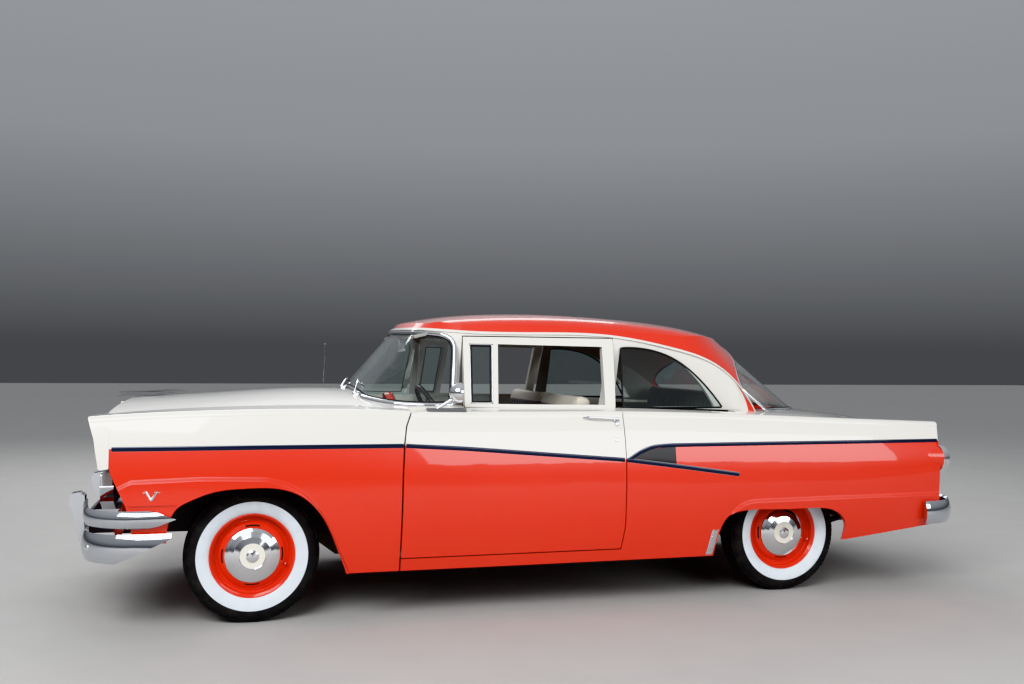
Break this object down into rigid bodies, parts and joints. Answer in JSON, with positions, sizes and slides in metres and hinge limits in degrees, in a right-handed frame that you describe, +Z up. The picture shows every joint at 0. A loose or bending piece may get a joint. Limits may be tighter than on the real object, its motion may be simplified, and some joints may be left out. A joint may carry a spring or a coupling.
{
  "type": "two-door saloon car",
  "caption": "Full-size two-door saloon car of the 1950s with steering, rolling wheels, opening doors, hood and rear lid, seats, glass and a full chassis underneath.",
  "frame": {"origin": "on the ground at the middle of the car's length and width", "axes": "+X towards the tail, +Y to the car's right, +Z up"},
  "size_m": [5.042, 1.928, 1.5695],
  "materials": {
    "paint_red": "gloss",
    "paint_ivory": "gloss",
    "paint_black": "satin",
    "chrome": "polished",
    "glass_clear": "polished",
    "lamp_red": "gloss",
    "tyre": "matte",
    "steel_raw": "satin",
    "iron": "matte",
    "seat_fabric": "matte",
    "paint_engine": "gloss"
  },
  "bodies": {
    "body": {"chassis_frame": "paint_black", "front_suspension": "paint_black", "rear_axle": "paint_black", "leaf_springs": "paint_black", "radiator": "paint_black", "inner_aprons": "paint_black", "fuel_tank": "paint_black", "floor_pan": "paint_black", "steering_column": "paint_black", "engine": "paint_engine", "propeller_shaft": "steel_raw", "exhaust": "steel_raw", "fender_front_left": "paint_red", "fender_front_right": "paint_red", "quarter_left": "paint_red", "quarter_right": "paint_red", "roof": "paint_red", "dashboard": "paint_red", "parcel_shelf": "paint_red", "rear_panel": "paint_red", "headlamp_panel": "paint_ivory", "cowl": "paint_ivory", "window_frame_left": "paint_ivory", "window_frame_right": "paint_ivory", "grille": "chrome", "bumper_front": "chrome", "bumper_rear": "chrome", "drip_rail": "paint_ivory", "headlamps": "glass_clear", "windshield": "glass_clear", "rear_window": "glass_clear", "quarter_glass": "glass_clear", "tail_lamps": "lamp_red", "front_seat": "seat_fabric", "rear_seat": "seat_fabric"},
    "wheel_front_left": {"tyre_front_left": "tyre", "rim_front_left": "paint_red", "hubcap_front_left": "chrome"},
    "wheel_front_right": {"tyre_front_right": "tyre", "rim_front_right": "paint_red", "hubcap_front_right": "chrome"},
    "wheel_rear_left": {"tyre_rear_left": "tyre", "rim_rear_left": "paint_red", "hubcap_rear_left": "chrome"},
    "wheel_rear_right": {"tyre_rear_right": "tyre", "rim_rear_right": "paint_red", "hubcap_rear_right": "chrome"},
    "knuckle_left": {"knuckle_left": "iron"},
    "knuckle_right": {"knuckle_right": "iron"},
    "steering_wheel": {"steering_wheel": "paint_black"},
    "hood": {"hood": "paint_ivory", "hood_ornament": "chrome"},
    "decklid": {"decklid": "paint_ivory"},
    "door_left": {"door_left": "paint_red", "vent_window_left": "glass_clear", "door_mirror": "chrome"},
    "door_right": {"door_right": "paint_red", "vent_window_right": "glass_clear"}
  },
  "joints": [
    {"name": "steer_left", "type": "hinge", "parent": "body", "child": "knuckle_left", "pos_m": [-1.64, -0.68, 0.328], "axis": [0, 0, 1], "range_deg": [-30, 30]},
    {"name": "steer_right", "type": "hinge", "parent": "body", "child": "knuckle_right", "pos_m": [-1.64, 0.68, 0.328], "axis": [0, 0, 1], "range_deg": [-30, 30]},
    {"name": "steering_wheel_turn", "type": "hinge", "parent": "body", "child": "steering_wheel", "pos_m": [-0.64, -0.37, 0.958], "axis": [0.866, 0, 0.5], "range_deg": [-610, 610]},
    {"name": "spin_front_left", "type": "hinge", "parent": "knuckle_left", "child": "wheel_front_left", "pos_m": [-1.64, -0.7365, 0.328], "axis": [0, 1, 0], "continuous": true},
    {"name": "spin_front_right", "type": "hinge", "parent": "knuckle_right", "child": "wheel_front_right", "pos_m": [-1.64, 0.7365, 0.328], "axis": [0, 1, 0], "continuous": true},
    {"name": "spin_rear_left", "type": "hinge", "parent": "body", "child": "wheel_rear_left", "pos_m": [1.294, -0.711, 0.328], "axis": [0, 1, 0], "continuous": true},
    {"name": "spin_rear_right", "type": "hinge", "parent": "body", "child": "wheel_rear_right", "pos_m": [1.294, 0.711, 0.328], "axis": [0, 1, 0], "continuous": true},
    {"name": "door_left_hinge", "type": "hinge", "parent": "body", "child": "door_left", "pos_m": [-0.84, -0.93, 0.645], "axis": [0, 0, 1], "range_deg": [-65, 0]},
    {"name": "door_right_hinge", "type": "hinge", "parent": "body", "child": "door_right", "pos_m": [-0.84, 0.93, 0.645], "axis": [0, 0, 1], "range_deg": [0, 65]},
    {"name": "hood_hinge", "type": "hinge", "parent": "body", "child": "hood", "pos_m": [-1.04, 0, 1.136], "axis": [0, 1, 0], "range_deg": [0, 48]},
    {"name": "decklid_hinge", "type": "hinge", "parent": "body", "child": "decklid", "pos_m": [1.778, 0, 1.012], "axis": [0, -1, 0], "range_deg": [0, 62]}
  ],
  "couplings": [
    {"joint": "steer_right", "follows": "steer_left", "ratio": 1},
    {"joint": "steering_wheel_turn", "follows": "steer_left", "ratio": 20}
  ]
}
